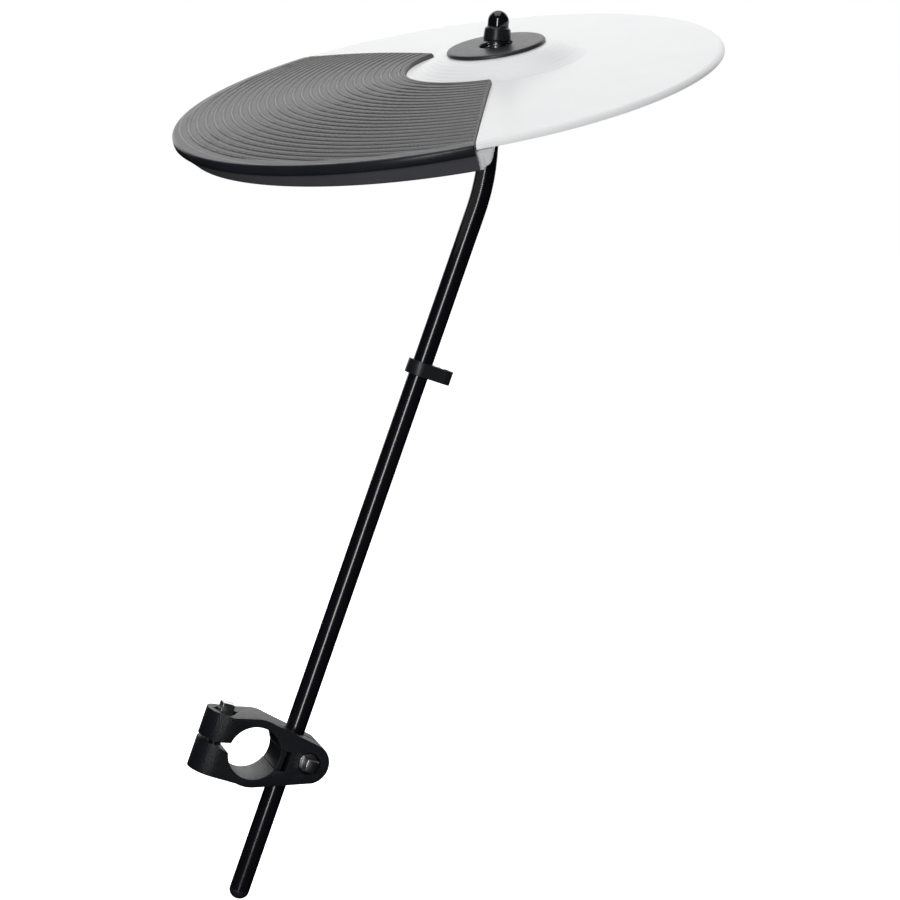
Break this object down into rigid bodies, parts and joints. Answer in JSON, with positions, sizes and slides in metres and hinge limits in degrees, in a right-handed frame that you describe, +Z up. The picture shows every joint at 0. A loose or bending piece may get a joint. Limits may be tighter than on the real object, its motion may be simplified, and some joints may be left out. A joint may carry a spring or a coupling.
{
  "type": "practice pad",
  "caption": "Cymbal-shaped practice pad with a grooved rubber sector on a white disc, rocking on the stud of a bent rod held in a rack-tube clamp.",
  "frame": {"origin": "middle of the clamp's bore for the rack tube", "axes": "+Z up along the rod's threaded stud; +Y along the rack tube's bore, away from the bolt heads; the playing sector faces -X"},
  "size_m": [0.2478, 0.2551, 0.431],
  "materials": {
    "white_shell": "satin moulded white plastic",
    "pad_rubber": "matte moulded rubber",
    "black_rubber": "satin black rubber",
    "black_moulding": "grained black plastic",
    "satin_plastic": "satin black plastic",
    "gloss_black": "glossy black plastic",
    "rod_paint": "gloss black paint",
    "bolt_chrome": "bright chrome",
    "nut_zinc": "zinc plated steel",
    "felt_grey": "pressed felt",
    "foam_black": "closed-cell foam",
    "piezo_brass": "rolled brass",
    "ceramic_white": "silvered ceramic",
    "wire_red": "PVC insulation"
  },
  "bodies": {
    "clamp": {"clamp_body": "black_moulding", "pressure_insert": "satin_plastic", "jaw_nut": "nut_zinc", "rod_nut": "nut_zinc"},
    "jaw_bolt_travel": {"jaw_washer": "bolt_chrome"},
    "jaw_bolt_turning": {"jaw_bolt": "bolt_chrome"},
    "rod_bolt_travel": {"rod_bolt_washer": "bolt_chrome"},
    "rod_bolt_turning": {"rod_bolt": "bolt_chrome"},
    "rod_sliding": {"rod_tip": "satin_plastic"},
    "rod_turning": {"rod": "rod_paint", "seat_cup": "satin_plastic", "seat_washer": "nut_zinc"},
    "clip": {"cable_clip": "satin_plastic"},
    "nut_travel": {"nut_washer": "satin_plastic"},
    "nut_turning": {"nut_collar": "satin_plastic", "cap_nut": "gloss_black"},
    "rocker": {"rocker_felt": "felt_grey"},
    "pad": {"pad_shell": "white_shell", "playing_pad": "pad_rubber", "cushion_sheet": "foam_black", "sensor_tape": "foam_black", "piezo_disc": "piezo_brass", "piezo_ceramic": "ceramic_white", "jack_box": "black_moulding", "box_screws": "nut_zinc", "jack_socket": "satin_plastic", "jack_nut": "bolt_chrome", "sensor_wires": "wire_red", "bell_boss": "black_moulding", "boss_screws": "nut_zinc", "centre_plate": "black_rubber"}
  },
  "joints": [
    {"name": "rod_slide", "type": "slide", "parent": "clamp", "child": "rod_sliding", "axis": [0.2689, 0, 0.9632], "range_m": [-0.12, 0.05]},
    {"name": "rod_turn", "type": "hinge", "parent": "rod_sliding", "child": "rod_turning", "pos_m": [0.0183, 0, -0.00511], "axis": [0.2689, 0, 0.9632], "range_deg": [-180, 180]},
    {"name": "clip_slide", "type": "slide", "parent": "rod_turning", "child": "clip", "axis": [0.2689, 0, 0.9632], "range_m": [-0.05, 0.05]},
    {"name": "pad_pitch", "type": "hinge", "parent": "rod_turning", "child": "rocker", "pos_m": [0.09588, 0, 0.33536], "axis": [0, 1, 0], "range_deg": [0, 30]},
    {"name": "pad_roll", "type": "hinge", "parent": "rocker", "child": "pad", "pos_m": [0.09588, 0, 0.33536], "axis": [0.9613, 0, 0.2756], "range_deg": [-16, 4]},
    {"name": "nut_slide", "type": "slide", "parent": "rod_turning", "child": "nut_travel", "axis": [0, 0, 1], "range_m": [0, 0.006]},
    {"name": "nut_turn", "type": "hinge", "parent": "nut_travel", "child": "nut_turning", "pos_m": [0.09588, 0, 0.34136], "axis": [0, 0, 1], "range_deg": [0, 1728]},
    {"name": "jaw_bolt_slide", "type": "slide", "parent": "clamp", "child": "jaw_bolt_travel", "axis": [0.2689, 0, 0.9632], "range_m": [0, 0.004]},
    {"name": "jaw_bolt_turn", "type": "hinge", "parent": "jaw_bolt_travel", "child": "jaw_bolt_turning", "pos_m": [-0.01342, 0, 0.01517], "axis": [0.2689, 0, 0.9632], "range_deg": [0, 1440]},
    {"name": "rod_bolt_slide", "type": "slide", "parent": "clamp", "child": "rod_bolt_travel", "axis": [0, -1, 0], "range_m": [0, 0.004]},
    {"name": "rod_bolt_turn", "type": "hinge", "parent": "rod_bolt_travel", "child": "rod_bolt_turning", "pos_m": [0.02689, -0.008, -0.00559], "axis": [0, -1, 0], "range_deg": [0, 1440]}
  ],
  "couplings": [
    {"joint": "nut_turn", "follows": "nut_slide", "rad_per_m": 5026.5},
    {"joint": "jaw_bolt_turn", "follows": "jaw_bolt_slide", "rad_per_m": 6283.2},
    {"joint": "rod_bolt_turn", "follows": "rod_bolt_slide", "rad_per_m": 6283.2}
  ]
}
